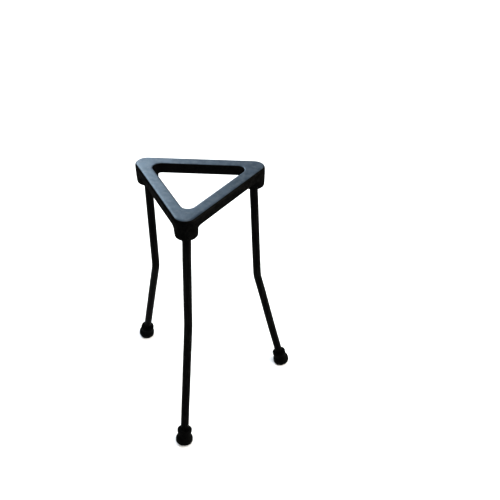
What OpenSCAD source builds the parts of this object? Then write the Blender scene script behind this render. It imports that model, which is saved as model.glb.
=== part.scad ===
// Laboratory tripod stand: a cast triangular frame on three bent steel legs with rubber feet.
// Millimetres, +Z up. The feet stand on z = 0, and x = y = 0 is the middle of the stand's footprint.

/* [Frame] */
// Height of the top face above the bench
stand_h = 230; // [180:1:300]
// Side of the triangle, measured to its sharp corners
frame_side = 127; // [110:1:180]
// Radius of the outer corners, and of the bosses under them
corner_r = 9.8; // [8:0.1:12]
// Width of the rails
rail_w = 11.5; // [8:0.1:14]
// Thickness of the rails
rail_t = 9.9; // [7:0.1:14]
// Radius of the corners of the opening
opening_r = 6.2; // [4:0.1:10]
// Chamfer along the edges of the rails
edge_w = 0.8; // [0.3:0.1:1.5]

/* [Bosses] */
// Depth of the bosses below the rails
boss_h = 9.2; // [6:0.1:16]
// Taper of the bosses towards their lower ends, on the radius
boss_draft = 0.4; // [0.1:0.1:1]
// Rounding of the lower edge of the bosses
boss_edge_r = 1.4; // [0.5:0.1:2.4]

/* [Legs] */
// Diameter of the steel rod
rod_d = 7.2; // [5:0.1:8]
// Step on the radius from the rod to its turned-down upper end
shoulder_w = 0.6; // [0.2:0.1:1]
// Length of the turned-down end, which is held in the boss
spigot_l = 12; // [8:0.5:14]
// Depth of the boss's hole beyond the end of the leg
hole_spare = 1; // [0.5:0.1:2]
// Gap on the radius between a leg and the hole or socket that holds it
fit_gap = 0.05; // [0.02:0.01:0.2]
// Radius of the bends, to the middle of the rod
bend_r = 32; // [15:1:60]

/* [Front leg] */
// Height of the bend above the bench
front_bend_h = 119; // [90:1:150]
// How far the bend lies outside the boss
front_bend_out = 0.9; // [-3:0.1:6]
// How far the bend is swung clockwise, seen from above
front_bend_swing = 3.5; // [-6:0.1:6]
// How far the foot lies outside the boss
front_foot_out = 32.3; // [20:0.1:45]
// How far the foot is swung clockwise, seen from above
front_foot_swing = 8.9; // [-15:0.1:16]

/* [Left leg] */
// Height of the bend above the bench
left_bend_h = 117; // [90:1:150]
// How far the bend lies outside the boss
left_bend_out = 1.7; // [-3:0.1:6]
// How far the bend is swung clockwise, seen from above
left_bend_swing = 0.9; // [-6:0.1:6]
// How far the foot lies outside the boss
left_foot_out = 37.4; // [20:0.1:45]
// How far the foot is swung clockwise, seen from above
left_foot_swing = 12.3; // [-15:0.1:16]

/* [Right leg] */
// Height of the bend above the bench
right_bend_h = 115; // [90:1:150]
// How far the bend lies outside the boss
right_bend_out = 1.3; // [-3:0.1:6]
// How far the bend is swung clockwise, seen from above
right_bend_swing = 5.2; // [-6:0.1:6]
// How far the foot lies outside the boss
right_foot_out = 25.5; // [20:0.1:45]
// How far the foot is swung clockwise, seen from above
right_foot_swing = 15.2; // [-15:0.1:16]

/* [Feet] */
// Height of the rubber caps
foot_h = 14.5; // [13:0.1:22]
// Rubber under the end of the rod
sole_t = 4; // [2:0.1:6]
// Wall of the cap round the rod
foot_wall = 2.4; // [1.5:0.1:4]
// How far the collar stands out from the wall
collar_out = 0.5; // [0.2:0.1:1.2]
// Height of the collar at the top of the cap
collar_h = 3.2; // [2:0.1:4]
// How far the base flares out from the wall
flare_out = 1.7; // [1:0.1:2.5]
// Height of the widest part of the base
flare_h = 4.3; // [3:0.1:5]
// Radius of the curves that lead from the base up to the wall
flare_r = 4; // [2.5:0.1:5]
// Rounding of the base's lower edge
foot_edge_r = 2.4; // [1:0.1:2.9]
// Depth of the flat worn on the foot where it meets the bench
foot_wear = 0.35; // [0.1:0.05:0.6]

/* [Hidden] */
$fn = 96;
// Overrun of a cut past the face that it goes through, and of a solid into the one that it joins
lap = 1;
// Corners and bends stand this far proud of the straights between them, so that their faces cross cleanly
proud = 0.02;

// Legs and corners are listed as front, left, right
FRONT = 0;
LEFT = 1;
RIGHT = 2;
LEGS = [FRONT, LEFT, RIGHT];
corner_a = [270, 150, 30];
bend_h = [front_bend_h, left_bend_h, right_bend_h];
bend_out = [front_bend_out, left_bend_out, right_bend_out];
bend_swing = [front_bend_swing, left_bend_swing, right_bend_swing];
foot_out = [front_foot_out, left_foot_out, right_foot_out];
foot_swing = [front_foot_swing, left_foot_swing, right_foot_swing];

// Distances from the middle of the frame: its sides, and the centres of its corners and of the opening's
side_d = frame_side / (2 * sqrt(3));
corner_d = 2 * (side_d - corner_r);
opening_d = 2 * (side_d - rail_w - opening_r);

// Heights of the underside of the rails and of the bosses
rail_z = stand_h - rail_t;
boss_z = rail_z - boss_h;

// Radii of the leg, of its turned-down end and of the rubber cap's parts
rod_r = rod_d / 2;
spigot_r = rod_r - shoulder_w;
wall_r = rod_r + foot_wall;
collar_r = wall_r + collar_out;
base_r = wall_r + flare_out;

// The collar is rounded as far as its step and height allow
collar_edge_r = min(2 * collar_out, collar_h / 3);
// The flare is two arcs of one radius, the lower bulging out and the upper hollow
flare_rise = sqrt(flare_out * (4 * flare_r - flare_out));

function unit(v) = v / norm(v);

// Place by a leg, from the middle of the frame: so far outwards and clockwise from its boss, at height z
function spot(leg, out, swing, z) =
    let (a = corner_a[leg], d = corner_d + out)
    [d * cos(a) + swing * sin(a), d * sin(a) - swing * cos(a), z];

// The middle line of a leg runs through these three points
function leg_top(leg) = spot(leg, 0, 0, boss_z);
function leg_bend(leg) = spot(leg, bend_out[leg], bend_swing[leg], bend_h[leg]);
function leg_ground(leg) = spot(leg, foot_out[leg], foot_swing[leg], 0);

// Distance along a leg from the face of its boss to its shoulder, which touches the boss on one side
function seat_drop(leg) =
    let (up = unit(leg_top(leg) - leg_bend(leg)))
    rod_r * norm([up.x, up.y]) / up.z;

// Distance along a leg from the bench to the bottom of its cap, whose lowest edge is worn by foot_wear
function cap_start(leg) =
    let (up = unit(leg_bend(leg) - leg_ground(leg)))
    ((base_r - foot_edge_r) * norm([up.x, up.y]) + foot_edge_r * (1 - up.z) - foot_wear) / up.z;

// Middle of the footprint, from the middle of the frame
mid_x = (leg_ground(LEFT).x + leg_ground(RIGHT).x) / 2;
mid_y = (leg_ground(FRONT).y + max(leg_ground(LEFT).y, leg_ground(RIGHT).y)) / 2;

// Moves what is drawn about the middle of the frame to its place over the footprint
module in_place() {
    translate([-mid_x, -mid_y, 0]) children();
}

// Leans what is drawn upwards from the origin, without turning it, on to the line from one point to another
module along(from, to) {
    v = to - from;
    bearing = atan2(v.y, v.x);
    translate(from) rotate([0, acos(v.z / norm(v)), bearing]) rotate([0, 0, -bearing]) children();
}

// Repeats a child at the frame's three corners, at distance d from the middle
module at_corners(d) {
    for (a = corner_a)
        translate([d * cos(a), d * sin(a), 0]) children();
}

// Three bars along the sides of a triangle that has its corners at distance d from the middle. Their
// section is drawn outwards from the side.
module sides(d, section) {
    side = d * sqrt(3);
    for (a = corner_a)
        translate([d * cos(a), d * sin(a), 0]) rotate([0, 0, a + 60]) translate([0, side, 0])
            rotate([90, 0, 0]) linear_extrude(side) polygon(section);
}

// Section of a rail, r beyond the line of the corners, with its outer chamfers. It reaches in past the
// opening's side, and up past the top face.
function rail_section(r) =
    [[-rail_w, 0], [r - edge_w, 0], [r, edge_w], [r, rail_t - edge_w],
        [r - edge_w - lap, rail_t + lap], [-rail_w, rail_t + lap]];

// Half-section of the cut for the opening, flared above and below to leave chamfers
function opening_section(r) =
    let (far = r + edge_w + lap)
    [[0, 0], [far, 0], [r, edge_w + lap], [r, rail_t - edge_w + lap],
        [far, rail_t + 2 * lap], [0, rail_t + 2 * lap]];

// Half-section of a corner of the frame with its boss, drawn from the boss's lower face up past the top face
module corner_section() {
    low_r = corner_r - boss_draft;
    square([low_r - boss_edge_r, boss_edge_r]);
    intersection() {
        translate([low_r - boss_edge_r, boss_edge_r]) circle(boss_edge_r);
        square([low_r, boss_edge_r]);
    }
    top = boss_h + rail_t;
    polygon([[0, boss_edge_r], [low_r, boss_edge_r], [corner_r, boss_h], [corner_r, top - edge_w],
        [corner_r - edge_w - lap, top + lap], [0, top + lap]]);
}

// The casting: a triangular frame with a boss under each corner, faced flat on top and bored for the legs
module top_frame() {
    color([0.32, 0.35, 0.38]) in_place() difference() {
        union() {
            translate([0, 0, rail_z]) sides(corner_d, rail_section(corner_r - proud));
            translate([0, 0, boss_z]) at_corners(corner_d) rotate_extrude() corner_section();
        }
        translate([-frame_side, -frame_side, stand_h]) cube([2 * frame_side, 2 * frame_side, 2 * lap]);
        translate([0, 0, rail_z - lap]) {
            sides(opening_d, opening_section(opening_r - proud));
            at_corners(opening_d) rotate_extrude() polygon(opening_section(opening_r));
            linear_extrude(rail_t + 2 * lap)
                polygon([for (a = corner_a) (opening_d + 2 * lap) * [cos(a), sin(a)]]);
        }
        for (leg = LEGS)
            along(leg_top(leg), 2 * leg_top(leg) - leg_bend(leg)) translate([0, 0, -lap])
                cylinder(r = spigot_r + fit_gap, h = lap + spigot_l + hole_spare);
    }
}

// One leg. It is drawn flat about the centre of its bend, with the bend turning from +X towards +Y,
// and then set on its three points.
module leg(i) {
    a = leg_top(i);
    b = leg_bend(i);
    c = leg_ground(i);
    to_a = unit(a - b);
    to_c = unit(c - b);
    turn = acos(-to_a * to_c);
    bend_run = bend_r * tan(turn / 2);
    centre = b + unit(to_a + to_c) * bend_r / cos(turn / 2);
    x = unit(b + to_a * bend_run - centre);
    z = unit(cross(to_c, to_a));
    y = cross(z, x);
    upper_l = norm(a - b) - bend_run - seat_drop(i);
    lower_l = norm(c - b) - bend_run - cap_start(i) - sole_t;
    color([0.1, 0.1, 0.11]) in_place()
        multmatrix([[x.x, y.x, z.x, centre.x], [x.y, y.y, z.y, centre.y], [x.z, y.z, z.z, centre.z]]) {
            rotate_extrude(angle = turn) translate([bend_r, 0]) circle(rod_r + proud);
            translate([bend_r, lap / 2, 0]) rotate([90, 0, 0]) {
                cylinder(r = rod_r, h = lap / 2 + upper_l);
                cylinder(r = spigot_r, h = lap / 2 + upper_l + spigot_l);
            }
            rotate([0, 0, turn]) translate([bend_r, -lap / 2, 0]) rotate([-90, 0, 0])
                cylinder(r = rod_r, h = lap / 2 + lower_l);
        }
}

// Half-section of the rubber cap without its socket
module foot_section() {
    bulge = [base_r - flare_r, flare_h];
    hollow = [wall_r + flare_r, flare_h + flare_rise];
    // Sole with its rounded edge
    square([base_r - foot_edge_r, flare_h]);
    translate([base_r - foot_edge_r, foot_edge_r]) circle(foot_edge_r);
    translate([0, foot_edge_r]) square([base_r, flare_h - foot_edge_r]);
    // Flare
    intersection() {
        translate(bulge) circle(flare_r);
        translate([0, flare_h]) square([base_r, flare_r]);
    }
    difference() {
        polygon([[0, flare_h], bulge, hollow, [0, hollow.y]]);
        translate(hollow) circle(flare_r);
    }
    // Wall and collar
    square([wall_r, foot_h - collar_edge_r]);
    translate([0, foot_h - collar_h]) square([collar_r - collar_edge_r, collar_h]);
    translate([0, foot_h - collar_h + collar_edge_r]) square([collar_r, collar_h - 2 * collar_edge_r]);
    for (z = [foot_h - collar_h + collar_edge_r, foot_h - collar_edge_r])
        translate([collar_r - collar_edge_r, z]) circle(collar_edge_r);
}

// One rubber cap on the lower end of its leg, with the worn flat that it stands on
module foot(i) {
    ground = leg_ground(i);
    reach = 2 * base_r;
    color([0.07, 0.07, 0.07]) in_place() difference() {
        along(ground, leg_bend(i)) translate([0, 0, cap_start(i)]) difference() {
            rotate_extrude() foot_section();
            translate([0, 0, sole_t]) cylinder(r = rod_r + fit_gap, h = foot_h - sole_t + lap);
        }
        translate([ground.x - reach, ground.y - reach, -reach]) cube([2 * reach, 2 * reach, reach]);
    }
}

module leg_front() { leg(FRONT); }
module leg_left() { leg(LEFT); }
module leg_right() { leg(RIGHT); }
module foot_front() { foot(FRONT); }
module foot_left() { foot(LEFT); }
module foot_right() { foot(RIGHT); }

top_frame();
leg_front();
leg_left();
leg_right();
foot_front();
foot_left();
foot_right();
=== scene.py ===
# A laboratory tripod stand: one black-painted iron casting on three bent steel legs with rubber caps.
# Metres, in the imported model's own frame: +Z is up and the caps stand on z = 0.
from math import acos, cos, pi, radians, sin, sqrt, tan

import bmesh
import bpy
from mathutils import Matrix, Vector, noise


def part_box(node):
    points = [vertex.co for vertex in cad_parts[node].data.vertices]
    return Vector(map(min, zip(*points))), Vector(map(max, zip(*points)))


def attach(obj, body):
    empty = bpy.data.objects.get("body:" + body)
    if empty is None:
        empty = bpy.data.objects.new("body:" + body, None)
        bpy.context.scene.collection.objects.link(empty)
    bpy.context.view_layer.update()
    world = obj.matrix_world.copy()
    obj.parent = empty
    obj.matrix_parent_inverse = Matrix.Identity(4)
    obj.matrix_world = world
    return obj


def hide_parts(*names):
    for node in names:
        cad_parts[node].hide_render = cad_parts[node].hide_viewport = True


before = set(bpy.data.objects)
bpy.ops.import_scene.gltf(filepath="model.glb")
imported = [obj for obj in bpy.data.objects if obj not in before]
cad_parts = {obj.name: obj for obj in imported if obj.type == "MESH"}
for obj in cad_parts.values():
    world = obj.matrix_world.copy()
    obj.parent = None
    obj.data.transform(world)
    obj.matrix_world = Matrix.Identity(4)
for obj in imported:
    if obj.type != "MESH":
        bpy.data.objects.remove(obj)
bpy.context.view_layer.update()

# ---------------------------------------------------------------------------------------------
# Top frame. One iron casting: a flat triangle with rounded corners and a boss under each corner.
# It is sand cast, so every edge and root is a little round, and then faced flat on top and painted.
# ---------------------------------------------------------------------------------------------
frame_side = 0.127
corner_radius = 0.0098
rail_width = 0.0115
rail_thickness = 0.0099
opening_radius = 0.0062
boss_draft = 0.0004
boss_edge = 0.0014
top_edge = 0.0021            # rounding of the outer edge of the top face
cast_cell = 0.00043          # cell in which the casting's shells are fused
edge_passes = 14             # passes that round its edges
root_passes = 40             # further passes that fill the roots of the bosses
root_reach = 0.0022          # how far above and below the rails' underside those reach
weld = 1e-6                  # points closer than this are one point

side_distance = frame_side / (2 * sqrt(3))
corner_distance = 2 * (side_distance - corner_radius)
opening_distance = 2 * (side_distance - rail_width - opening_radius)
frame_low, frame_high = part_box("top_frame")
frame_middle = Vector(((frame_low.x + frame_high.x) / 2, frame_high.y - side_distance, 0))
top_z = frame_high.z
boss_z = frame_low.z
rail_z = top_z - rail_thickness
boss_top_z = top_z - 1.2 * top_edge    # the bosses end inside the rails, below the rounded edge
FRONT, LEFT, RIGHT = 270, 150, 30
CORNERS = (FRONT, RIGHT, LEFT)         # in order round the triangle


def bearing_of(degrees):
    """Level direction from the middle of the frame towards a corner."""
    return Vector((cos(radians(degrees)), sin(radians(degrees)), 0))


def only_verts(geometry):
    return [v for v in geometry if isinstance(v, bmesh.types.BMVert)]


def rounded_triangle(bm, distance, radius, z):
    """Edges of a level triangle: each corner is a point spun about its centre, and sides join them."""
    edges, ends = [], []
    for corner in CORNERS:
        centre = frame_middle + bearing_of(corner) * distance + Vector((0, 0, z))
        first = bm.verts.new(centre + bearing_of(corner - 60) * radius)
        before = set(bm.edges)
        last = bmesh.ops.spin(bm, geom=[first], cent=centre, axis=(0, 0, 1),
                              angle=radians(120), steps=16)["geom_last"]
        edges += [e for e in bm.edges if e not in before]
        ends.append((first, only_verts(last)[0]))
    for (_, last), (first, _) in zip(ends, ends[1:] + ends[:1]):
        edges.append(bm.edges.new((last, first)))
    return edges


def revolve(bm, centre, section, steps):
    """Spins a line of (radius, height) points full circle about the upright through a centre."""
    line = [bm.verts.new(centre + Vector((r, 0, z))) for r, z in section]
    line += [bm.edges.new(pair) for pair in zip(line, line[1:])]
    bmesh.ops.spin(bm, geom=line, cent=centre, axis=(0, 0, 1), angle=2 * pi, steps=steps, use_merge=True)


def smooth_points(bm, points, passes):
    for _ in range(passes):
        bmesh.ops.smooth_vert(bm, verts=points, factor=0.5,
                              use_axis_x=True, use_axis_y=True, use_axis_z=True)


def piece_from(name, bm, node):
    """Makes a bmesh a piece of the stand: at the origin, riding on its one body, in place of its node."""
    mesh = bpy.data.meshes.new(name)
    bm.to_mesh(mesh)
    bm.free()
    mesh.shade_smooth()
    piece = bpy.data.objects.new(name, mesh)
    bpy.context.scene.collection.objects.link(piece)
    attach(piece, "root")
    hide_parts(node)
    return piece


# Closed shells: the rails drawn down from the top face, and a turned boss under each corner
casting_shells = bmesh.new()
outline = rounded_triangle(casting_shells, corner_distance, corner_radius, top_z)
opening = rounded_triangle(casting_shells, opening_distance, opening_radius, top_z)
top_face = bmesh.ops.bridge_loops(casting_shells, edges=outline + opening)["faces"]
drawn = bmesh.ops.extrude_face_region(casting_shells, geom=top_face)["geom"]
bmesh.ops.translate(casting_shells, vec=(0, 0, -rail_thickness), verts=only_verts(drawn))
bmesh.ops.bevel(casting_shells, geom=outline, offset=top_edge, segments=6, profile=0.5,
                affect="EDGES", material=-1)
boss_radius = corner_radius - boss_draft
for corner in CORNERS:
    revolve(casting_shells, frame_middle + bearing_of(corner) * corner_distance,
            [(0, boss_z), (boss_radius - boss_edge, boss_z),
             (boss_radius - boss_edge * 0.3, boss_z + boss_edge * 0.3),
             (boss_radius, boss_z + boss_edge), (corner_radius, rail_z),
             (corner_radius, boss_top_z), (0, boss_top_z)], 64)
bmesh.ops.remove_doubles(casting_shells, verts=casting_shells.verts, dist=weld)
bmesh.ops.recalc_face_normals(casting_shells, faces=casting_shells.faces)

# The shells are fused into one skin, whose edges and roots are then smoothed as a sand mould leaves them
shells = bpy.data.objects.new("casting_shells", bpy.data.meshes.new("casting_shells"))
bpy.context.scene.collection.objects.link(shells)
casting_shells.to_mesh(shells.data)
casting_shells.free()
fuse = shells.modifiers.new("fuse", "REMESH")
fuse.mode = "VOXEL"
fuse.voxel_size = cast_cell
casting = bmesh.new()
casting.from_mesh(bpy.data.meshes.new_from_object(
    shells.evaluated_get(bpy.context.evaluated_depsgraph_get())))
bpy.data.objects.remove(shells)
smooth_points(casting, casting.verts, edge_passes)
smooth_points(casting, [v for v in casting.verts if abs(v.co.z - rail_z) < root_reach], root_passes)
casting = piece_from("casting", casting, "top_frame")


def shader_node(tree, kind, sockets=(), **properties):
    """Adds a node and fills its sockets, with links where the value is another node's output."""
    node = tree.nodes.new("ShaderNode" + kind)
    for name, value in properties.items():
        setattr(node, name, value)
    for name, value in dict(sockets).items():
        if isinstance(value, bpy.types.NodeSocket):
            tree.links.new(value, node.inputs[name])
        else:
            node.inputs[name].default_value = value
    return node


def effect_group(name, inputs, outputs):
    """Starts a shader node group. Returns its tree, its input sockets and a call that sets an output."""
    tree = bpy.data.node_groups.new(name, "ShaderNodeTree")
    for socket, kind, value in inputs:
        made = tree.interface.new_socket(name=socket, in_out="INPUT", socket_type="NodeSocket" + kind)
        if value is not None:
            made.default_value = value
    for socket, kind in outputs:
        tree.interface.new_socket(name=socket, in_out="OUTPUT", socket_type="NodeSocket" + kind)
    given = tree.nodes.new("NodeGroupInput").outputs
    result = tree.nodes.new("NodeGroupOutput").inputs
    return tree, given, lambda socket, value: tree.links.new(value, result[socket])


def use_effect(tree, group, sockets):
    return shader_node(tree, "Group", sockets, node_tree=group).outputs


def noise_at(tree, place, scale, detail, roughness=0.5):
    return shader_node(tree, "TexNoise", {"Vector": place, "Scale": scale, "Detail": detail,
                                          "Roughness": roughness}).outputs["Fac"]


def spread(tree, value, low, high, to_low=0.0, to_high=1.0):
    """Value mapped from one range to another, smoothly and without overshoot."""
    return shader_node(tree, "MapRange", {"Value": value, "From Min": low, "From Max": high,
                                          "To Min": to_low, "To Max": to_high},
                       interpolation_type="SMOOTHSTEP").outputs["Result"]


def blend_colour(tree, share, first, second):
    """Mix of two colours. The Mix node has unnamed colour sockets: 0 is the share, 6 and 7 the colours."""
    node = shader_node(tree, "Mix", data_type="RGBA")
    for socket, value in ((0, share), (6, first), (7, second)):
        if isinstance(value, bpy.types.NodeSocket):
            tree.links.new(value, node.inputs[socket])
        else:
            node.inputs[socket].default_value = value
    return node.outputs[2]


def sum_of(tree, first, second, share):
    """first + share * second"""
    return shader_node(tree, "Math", {0: second, 1: share, 2: first}, operation="MULTIPLY_ADD").outputs[0]


def new_finish(name):
    """Starts a material. Returns it with its node tree, its shader and the object's own coordinates."""
    material = bpy.data.materials.new(name)
    material.use_nodes = True
    tree = material.node_tree
    return material, tree, tree.nodes["Principled BSDF"], shader_node(tree, "TexCoord").outputs["Object"]


def raise_surface(tree, shader, height, strength, distance):
    bump = shader_node(tree, "Bump", {"Strength": strength, "Distance": distance, "Height": height})
    tree.links.new(bump.outputs["Normal"], shader.inputs["Normal"])


# Black enamel flooded on by brush: slow sags in the film, and grit and sand marks that show through it
enamel_film, given, put = effect_group(
    "enamel_film",
    [("Vector", "Vector", None), ("Sag Scale", "Float", 120.0),
     ("Grit Scale", "Float", 1400.0), ("Grit", "Float", 0.4)],
    [("Sag", "Float"), ("Grit", "Float"), ("Height", "Float")])
sag = noise_at(enamel_film, given["Vector"], given["Sag Scale"], 3.0, 0.55)
grit = noise_at(enamel_film, given["Vector"], given["Grit Scale"], 2.0, 0.6)
put("Sag", spread(enamel_film, sag, 0.3, 0.7))
put("Grit", spread(enamel_film, grit, 0.45, 0.75))
put("Height", sum_of(enamel_film, sag, spread(enamel_film, grit, 0.4, 0.8), given["Grit"]))

# Rubs and light scuffs: soft-edged patches, drawn out by Stretch and more of them with more Cover
rub_marks, given, put = effect_group(
    "rub_marks",
    [("Vector", "Vector", None), ("Scale", "Float", 300.0),
     ("Stretch", "Vector", (1.0, 1.0, 1.0)), ("Cover", "Float", 0.4)],
    [("Mask", "Float")])
stretched = shader_node(rub_marks, "VectorMath", {0: given["Vector"], 1: given["Stretch"]},
                        operation="MULTIPLY").outputs[0]
rub = noise_at(rub_marks, stretched, given["Scale"], 6.0, 0.65)
edge = shader_node(rub_marks, "Math", {0: 0.78, 1: given["Cover"]}, operation="SUBTRACT").outputs[0]
over = shader_node(rub_marks, "Math", {0: rub, 1: edge}, operation="SUBTRACT").outputs[0]
put("Mask", spread(rub_marks, over, -0.07, 0.19))

# The walls keep their black enamel, with sand grain. The top face is coloured a pale grey-blue that is
# partly a painted reflection of cool light in its gloss and partly paint greyed by heat and wiping, in
# slow drifts with paler blooms, and it keeps a soft gloss. Both fade into each other round the edges.
wall_black = (0.0019, 0.0020, 0.0022, 1)
wall_grain = (0.0078, 0.0074, 0.0067, 1)
# Grey-blue top colours: painted reflection of cool light in the gloss, over paint greyed by heat and
# wiping
grey_sheen_dark = (0.024, 0.039, 0.057, 1)
grey_sheen_light = (0.048, 0.069, 0.095, 1)
grey_sheen_bloom = (0.067, 0.085, 0.105, 1)

casting_paint, tree, paint, place = new_finish("casting_paint")
normal = shader_node(tree, "NewGeometry").outputs["Normal"]
facing_up = shader_node(tree, "SeparateXYZ", {0: normal}).outputs["Z"]
faced = spread(tree, facing_up, 0.72, 0.995)
film = use_effect(tree, enamel_film,
                  {"Vector": place, "Sag Scale": 95.0, "Grit Scale": 1100.0, "Grit": 0.35})
sand = noise_at(tree, place, 620.0, 5.0, 0.62)
bloom = noise_at(tree, place, 230.0, 5.0, 0.62)
walls = blend_colour(tree, spread(tree, sand, 0.35, 0.7), wall_black, wall_grain)
# Surfaces facing up take the painted grey-blue reflection colour; the walls stay black
top_grey_sheen = blend_colour(tree, film["Sag"], grey_sheen_dark, grey_sheen_light)
top_grey_sheen = blend_colour(tree, spread(tree, bloom, 0.42, 0.68), top_grey_sheen, grey_sheen_bloom)
tree.links.new(blend_colour(tree, faced, walls, top_grey_sheen), paint.inputs["Base Color"])
tree.links.new(sum_of(tree, 0.5, film["Grit"], 0.14), paint.inputs["Roughness"])
tree.links.new(sum_of(tree, spread(tree, bloom, 0.3, 0.7, 0.1, 0.02), faced, 0.9),
               paint.inputs["Coat Weight"])
paint.inputs["Specular IOR Level"].default_value = 0.0
paint.inputs["Coat Roughness"].default_value = 0.38
raise_surface(tree, paint, sum_of(tree, film["Height"], sand, 0.45), 0.4, 0.0004)
casting.data.materials.append(casting_paint)

# ---------------------------------------------------------------------------------------------
# Legs. Each is a length of drawn steel rod, turned down at its upper end to go into its boss, bent
# by hand just above half its height and painted black. The shoulder of the turning meets the boss.
# ---------------------------------------------------------------------------------------------
rod_radius = 0.0036
spigot_radius = 0.003
spigot_length = 0.012
bend_radius = 0.032
rod_step = 0.0035            # length of rod between the rings that carry its unevenness
rod_waver = 0.00022          # how far a drawn and hand-bent rod strays from its true line
waver_rate = 28              # turns of that waver in a metre
waver_seed = 1               # picks the waver; 0 would pick another one each run
rod_runs = 0.00005           # how far runs in its paint move the surface
runs_rate = 260              # runs in a metre
held_length = 0.02           # length beside the boss and the cap over which a rod comes back to true
sole_thickness = 0.004
cap_base_radius = 0.0077
cap_edge_radius = 0.0024
cap_wear = 0.00035
sharp_angle = radians(40)    # faces that meet at more than this keep a sharp edge
# corner: height of the bend, then how far out and clockwise from its boss the bend and the foot are
leg_shape = {
    FRONT: (0.119, 0.0009, 0.0035, 0.0323, 0.0089),
    LEFT: (0.117, 0.0017, 0.0009, 0.0374, 0.0123),
    RIGHT: (0.115, 0.0013, 0.0052, 0.0255, 0.0152),
}


def leg_line(corner):
    """Top, bend and ground points of a leg's middle line."""
    bend_height, bend_out, bend_swing, foot_out, foot_swing = leg_shape[corner]
    out, aside = bearing_of(corner), bearing_of(corner - 90)
    boss = frame_middle + out * corner_distance
    return (boss + Vector((0, 0, boss_z)),
            boss + out * bend_out + aside * bend_swing + Vector((0, 0, bend_height)),
            boss + out * foot_out + aside * foot_swing)


def cap_lift(corner):
    """Distance along the leg from the bench to the bottom of its cap."""
    _, bend, ground = leg_line(corner)
    up = (bend - ground).normalized()
    flat_radius = cap_base_radius - cap_edge_radius
    return (flat_radius * up.xy.length + cap_edge_radius * (1 - up.z) - cap_wear) / up.z


def far_ring(drawn):
    """The edges at the far end of what an extrusion drew."""
    ends = set(only_verts(drawn))
    return [e for e in drawn if isinstance(e, bmesh.types.BMEdge) and all(v in ends for v in e.verts)]


def draw_rod(bm, ring, along, rings):
    """Draws a ring of edges out into rod, in so many lengths. Returns the last ring."""
    for _ in range(rings):
        drawn = bmesh.ops.extrude_edge_only(bm, edges=ring)["geom"]
        bmesh.ops.translate(bm, vec=along / rings, verts=only_verts(drawn))
        ring = far_ring(drawn)
    return ring


def leg_piece(name, corner, node):
    top, bend, ground = leg_line(corner)
    up, down = (top - bend).normalized(), (ground - bend).normalized()
    turn = acos(-up.dot(down))
    run = bend_radius * tan(turn / 2)
    centre = bend + (up + down).normalized() * bend_radius / cos(turn / 2)
    axis = (-down).cross(up).normalized()
    shoulder = top - up * rod_radius * up.xy.length / up.z
    foot = ground - down * (cap_lift(corner) + sole_thickness)
    upper, lower = shoulder - bend - up * run, foot - bend - down * run

    # Shoulder and turned-down end, then the rod from the shoulder down round the bend to the foot
    leg = bmesh.new()
    aimed = Matrix.Translation(shoulder) @ up.to_track_quat("Z", "Y").to_matrix().to_4x4()
    circle = bmesh.ops.create_circle(leg, segments=40, radius=rod_radius, matrix=aimed)["verts"]
    ring = list(dict.fromkeys(e for v in circle for e in v.link_edges))
    step = bmesh.ops.extrude_edge_only(leg, edges=ring)["geom"]
    bmesh.ops.scale(leg, vec=Vector((1, 1, 1)) * spigot_radius / rod_radius, verts=only_verts(step),
                    space=Matrix.Translation(-shoulder))
    bmesh.ops.edgeloop_fill(leg, edges=draw_rod(leg, far_ring(step), up * spigot_length, 2))
    ring = draw_rod(leg, ring, -upper, round(upper.length / rod_step))
    spun = bmesh.ops.spin(leg, geom=ring, cent=centre, axis=-axis, angle=turn, steps=12)["geom_last"]
    ring = [e for e in spun if isinstance(e, bmesh.types.BMEdge)]
    ring = draw_rod(leg, ring, lower, round(lower.length / rod_step))
    bmesh.ops.edgeloop_fill(leg, edges=ring)
    bmesh.ops.recalc_face_normals(leg, faces=leg.faces)
    leg.normal_update()

    # The rod wavers between its ends, which stay true where the boss and the cap hold it
    for v in leg.verts:
        free = max(0, min(1, (boss_z - v.co.z) / held_length - 0.1, v.co.z / held_length - 1))
        v.co += free * (noise.noise_vector(Vector((corner, 0, v.co.z * waver_rate))) * rod_waver
                        + v.normal * noise.noise(v.co * runs_rate) * rod_runs)
    piece = piece_from(name, leg, node)
    piece.data.set_sharp_from_angle(angle=sharp_angle)
    piece.data.materials.append(rod_paint)


# Thin black enamel, with streaks along the rod where hands and clamps have rubbed it
rod_black = (0.0014, 0.0014, 0.0015, 1)
rod_sagged = (0.0037, 0.0036, 0.0035, 1)
rod_streak = (0.0118, 0.0116, 0.0113, 1)

rod_paint, tree, paint, place = new_finish("rod_paint")
film = use_effect(tree, enamel_film,
                  {"Vector": place, "Sag Scale": 160.0, "Grit Scale": 1500.0, "Grit": 0.2})
streaks = use_effect(tree, rub_marks, {"Vector": place, "Scale": 800.0,
                                       "Stretch": (1.0, 1.0, 0.05), "Cover": 0.28})["Mask"]
black = blend_colour(tree, film["Sag"], rod_black, rod_sagged)
tree.links.new(blend_colour(tree, streaks, black, rod_streak), paint.inputs["Base Color"])
tree.links.new(sum_of(tree, spread(tree, film["Sag"], 0, 1, 0.34, 0.44), streaks, 0.12),
               paint.inputs["Roughness"])
paint.inputs["Specular IOR Level"].default_value = 0.03
raise_surface(tree, paint, film["Height"], 0.3, 0.0003)

noise.seed_set(waver_seed)
leg_piece("front_leg", FRONT, "leg_front")
leg_piece("left_leg", LEFT, "leg_left")
leg_piece("right_leg", RIGHT, "leg_right")

# ---------------------------------------------------------------------------------------------
# Caps. Each is a black rubber ferrule pushed over the end of a leg and held by its own grip: a
# collar at its mouth, a short wall, and a base that flares out. Standing has worn its edge flat.
# ---------------------------------------------------------------------------------------------
cap_height = 0.0145
cap_wall = 0.0024
collar_out = 0.0005
collar_height = 0.0032
collar_edge = 0.0007
flare_out = 0.0017
flare_height = 0.0043
flare_radius = 0.004
mouth_edge = 0.0003

wall_radius = rod_radius + cap_wall
collar_radius = wall_radius + collar_out
flare_turn = acos(1 - flare_out / (2 * flare_radius))


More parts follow.
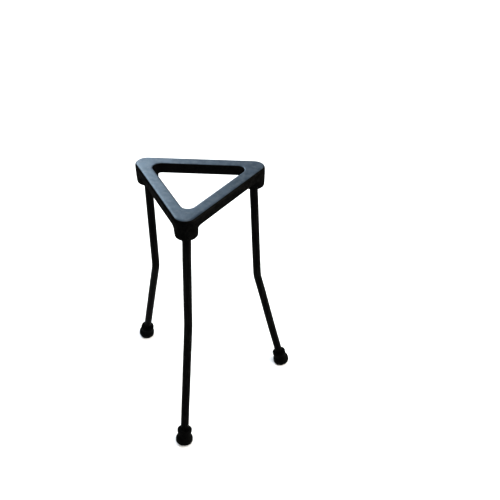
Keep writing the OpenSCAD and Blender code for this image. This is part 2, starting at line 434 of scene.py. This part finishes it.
def cap_section(cap):
    """Half-section of the cap in the XZ plane, from the middle of its sole round to its socket's floor."""
    def point(r, z):
        return cap.verts.new((r, 0, z))

    def arc(start, r, z, turn, steps, bulging=True):
        """Spins a point about (r, z), and returns the last point."""
        return only_verts(bmesh.ops.spin(cap, geom=[start], cent=(r, 0, z), steps=steps, angle=turn,
                                         axis=(0, -1 if bulging else 1, 0))["geom_last"])[0]

    flat_radius = cap_base_radius - cap_edge_radius
    edge_centre = collar_radius - collar_edge
    collar_z = cap_height - collar_height
    hollow_z = flare_height + 2 * flare_radius * sin(flare_turn)
    sole = [point(0, 0), point(flat_radius, 0)]
    edge = arc(sole[1], flat_radius, cap_edge_radius, pi / 2, 6)
    widest = point(cap_base_radius, flare_height)
    bulge = arc(widest, cap_base_radius - flare_radius, flare_height, flare_turn, 6)
    hollow = arc(bulge, wall_radius + flare_radius, hollow_z, flare_turn, 6, bulging=False)
    under = [point(wall_radius, collar_z), point(edge_centre, collar_z)]
    low = arc(under[1], edge_centre, collar_z + collar_edge, pi / 2, 4)
    high = point(collar_radius, cap_height - collar_edge)
    rim = arc(high, edge_centre, cap_height - collar_edge, pi / 2, 4)
    mouth = [point(rod_radius + mouth_edge, cap_height), point(rod_radius, cap_height - mouth_edge),
             point(rod_radius, sole_thickness), point(0, sole_thickness)]
    for pair in [sole, (edge, widest), (hollow, under[0]), under, (low, high), (rim, mouth[0]),
                 *zip(mouth, mouth[1:])]:
        cap.edges.new(pair)
    bmesh.ops.remove_doubles(cap, verts=cap.verts, dist=weld)


def cap_piece(name, corner, node):
    cap = bmesh.new()
    cap_section(cap)
    bmesh.ops.spin(cap, geom=list(cap.verts) + list(cap.edges), cent=(0, 0, 0), axis=(0, 0, 1),
                   angle=2 * pi, steps=56, use_merge=True)
    bmesh.ops.remove_doubles(cap, verts=cap.verts, dist=weld)

    # Leaned on to its leg, and cut off level with the bench where it is worn
    _, bend, ground = leg_line(corner)
    up = (bend - ground).normalized()
    lean = Vector((0, 0, 1)).rotation_difference(up).to_matrix().to_4x4()
    bmesh.ops.transform(cap, matrix=Matrix.Translation(ground + up * cap_lift(corner)) @ lean,
                        verts=cap.verts)
    bmesh.ops.bisect_plane(cap, geom=list(cap.verts) + list(cap.edges) + list(cap.faces), dist=1e-7,
                           plane_co=(0, 0, 0), plane_no=(0, 0, -1), clear_outer=True)
    bmesh.ops.holes_fill(cap, edges=[e for e in cap.edges if len(e.link_faces) == 1], sides=0)
    bmesh.ops.recalc_face_normals(cap, faces=cap.faces)
    piece = piece_from(name, cap, node)
    piece.data.set_sharp_from_angle(angle=sharp_angle)
    piece.data.materials.append(cap_rubber)


# Moulded rubber, rubbed grey in patches, with dust from the bench low down where it is rubbed
rubber_black = (0.0017, 0.0017, 0.0017, 1)
rubber_rubbed = (0.0063, 0.0062, 0.0059, 1)
bench_dust = (0.030, 0.029, 0.026, 1)

cap_rubber, tree, rubber, place = new_finish("cap_rubber")
scuff = use_effect(tree, rub_marks, {"Vector": place, "Scale": 520.0,
                                     "Stretch": (1.0, 1.0, 1.5), "Cover": 0.3})["Mask"]
pores = noise_at(tree, place, 2600.0, 2.0)
height = shader_node(tree, "SeparateXYZ", {0: place}).outputs["Z"]
low_down = spread(tree, height, 0.0005, 0.006, 0.6, 0.0)
dusty = shader_node(tree, "Math", {0: low_down, 1: scuff}, operation="MULTIPLY").outputs[0]
black = blend_colour(tree, scuff, rubber_black, rubber_rubbed)
tree.links.new(blend_colour(tree, dusty, black, bench_dust), rubber.inputs["Base Color"])
tree.links.new(sum_of(tree, spread(tree, pores, 0.3, 0.7, 0.5, 0.62), scuff, 0.12),
               rubber.inputs["Roughness"])
rubber.inputs["Specular IOR Level"].default_value = 0.04
raise_surface(tree, rubber, pores, 0.25, 0.00015)

cap_piece("front_cap", FRONT, "foot_front")
cap_piece("left_cap", LEFT, "foot_left")
cap_piece("right_cap", RIGHT, "foot_right")

# ---------------------------------------------------------------------------------------------
# Studio. A plain pale bench top in a white room, lit by a broad soft ceiling, a cool soft box
# behind on the left and a weaker warm one on the right.
# ---------------------------------------------------------------------------------------------
floor_mesh = bmesh.new()
bmesh.ops.create_circle(floor_mesh, segments=96, radius=6.0, cap_ends=True)
floor_data = bpy.data.meshes.new("floor")
floor_mesh.to_mesh(floor_data)
floor_mesh.free()
floor = bpy.data.objects.new("floor", floor_data)
bpy.context.scene.collection.objects.link(floor)
floor_card = bpy.data.materials.new("floor_card")
floor_card.use_nodes = True
card = floor_card.node_tree.nodes["Principled BSDF"]
card.inputs["Base Color"].default_value = (0.88, 0.88, 0.88, 1)
card.inputs["Roughness"].default_value = 0.9
card.inputs["Specular IOR Level"].default_value = 0.1
floor_data.materials.append(floor_card)

# The room lights the stand softly, and shows as plain white behind it
room_light = 0.36
room_white = 0.7
room = bpy.data.worlds.new("room")
bpy.context.scene.world = room
room.use_nodes = True
tree = room.node_tree
seen = shader_node(tree, "LightPath").outputs["Is Camera Ray"]
tree.links.new(sum_of(tree, room_light, seen, room_white), tree.nodes["Background"].inputs["Strength"])
tree.nodes["Background"].inputs["Color"].default_value = (1.0, 1.0, 1.0, 1)


def hang_lamp(name, light, power, colour):
    light.energy = power
    light.color = colour
    lamp = bpy.data.objects.new(name, light)
    bpy.context.scene.collection.objects.link(lamp)
    return lamp


def soft_box(name, place, aim, size, power, colour):
    light = bpy.data.lights.new(name, "AREA")
    light.shape = "RECTANGLE"
    light.size, light.size_y = size
    light.spread = radians(80)
    lamp = hang_lamp(name, light, power, colour)
    lamp.location = place
    lamp.rotation_euler = (Vector(aim) - lamp.location).to_track_quat("-Z", "Y").to_euler()


soft_box("back_left", (-0.72, 1.15, 0.92), (0, 0, 0.23), (0.9, 0.6), 2.3, (0.68, 0.85, 1.0))
soft_box("right", (1.0, 0.1, 0.32), (0, 0, 0.1), (0.5, 0.35), 1.25, (1.0, 0.94, 0.80))
ceiling = bpy.data.lights.new("ceiling", "SUN")
ceiling.angle = radians(60)
lamp = hang_lamp("ceiling", ceiling, 2.2, (1.0, 0.985, 0.96))
lamp.rotation_euler = (radians(18), radians(14), 0)

camera_place = Vector((0.0835, -0.4829, 0.5221))
camera_target = Vector((0.0291, 0.0149, 0.1577))
camera_roll = radians(-1.09)
camera_data = bpy.data.cameras.new("camera")
camera_data.sensor_width = 36
camera_data.lens = 50.4
camera_data.shift_x = 0.033
camera_data.shift_y = 0.0034
camera = bpy.data.objects.new("camera", camera_data)
bpy.context.scene.collection.objects.link(camera)
camera.matrix_world = (Matrix.Translation(camera_place)
                       @ (camera_target - camera_place).to_track_quat("-Z", "Y").to_matrix().to_4x4()
                       @ Matrix.Rotation(camera_roll, 4, "Z"))
bpy.context.scene.camera = camera
bpy.context.scene.view_settings.view_transform = "Standard"
bpy.context.scene.view_settings.look = "High Contrast"
